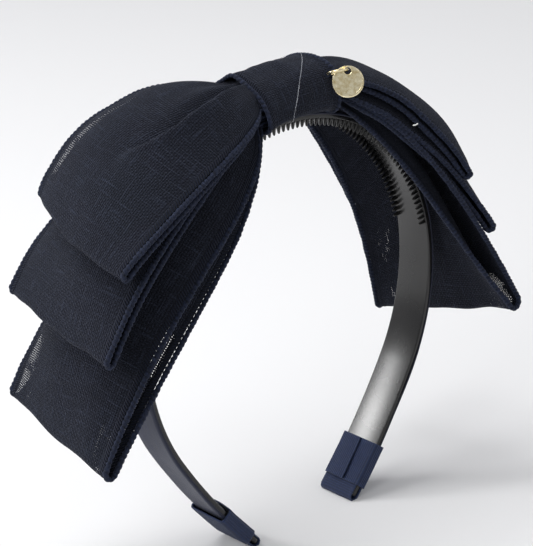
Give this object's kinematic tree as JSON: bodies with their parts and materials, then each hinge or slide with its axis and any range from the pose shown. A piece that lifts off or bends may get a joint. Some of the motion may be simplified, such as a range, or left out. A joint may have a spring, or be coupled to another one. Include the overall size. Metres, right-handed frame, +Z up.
{
  "type": "comb headband with tiered bow",
  "caption": "Springy comb headband with a satin-covered plastic band, fabric tip caps and a large tiered linen bow with a round metal charm beside its knot.",
  "frame": {"origin": "centre of the bounding box's footprint, on the surface on which the two tips stand", "axes": "+Z up towards the crown; +X from ear to ear, towards the charm's side; +Y towards the back of the head"},
  "size_m": [0.1808, 0.0604, 0.1623],
  "materials": {
    "plastic": "smooth glossy moulding, very dark grey",
    "satin": "navy satin ribbon, soft sheen",
    "grosgrain": "navy grosgrain ribbon, ribbed across its length",
    "linen": "open plain-weave linen, near-black navy, matt",
    "edging": "corded overlock thread, navy",
    "gold": "pale champagne gold, polished and slightly uneven",
    "nylon": "clear nylon thread",
    "white_thread": "white thread"
  },
  "bodies": {
    "headband": {"band_core": "plastic", "charm_stitch": "edging", "clear_thread": "nylon", "knot_left_edging": "edging", "knot_right_edging": "edging", "knot_wrap": "linen", "left_tip_fold": "grosgrain", "left_tip_sleeve": "grosgrain", "lower_back_edging": "edging", "lower_front_edging": "edging", "lower_ribbon": "linen", "middle_back_edging": "edging", "middle_front_edging": "edging", "middle_ribbon": "linen", "right_tip_fold": "grosgrain", "right_tip_sleeve": "grosgrain", "satin_cover": "satin", "tacking_stitch": "white_thread", "upper_back_edging": "edging", "upper_front_edging": "edging", "upper_ribbon": "linen"},
    "ring": {"jump_ring": "gold"},
    "charm": {"charm_disc": "gold"}
  },
  "joints": [
    {"name": "ring_flap", "type": "hinge", "parent": "headband", "child": "ring", "pos_m": [0.01812, -0.01547, 0.15667], "axis": [0.6938, 0.6056, -0.3898], "range_deg": [-35, 0]},
    {"name": "charm_swing", "type": "hinge", "parent": "ring", "child": "charm", "pos_m": [0.02248, -0.01975, 0.15778], "axis": [0.6938, 0.6056, -0.3898], "range_deg": [-40, 6]}
  ]
}
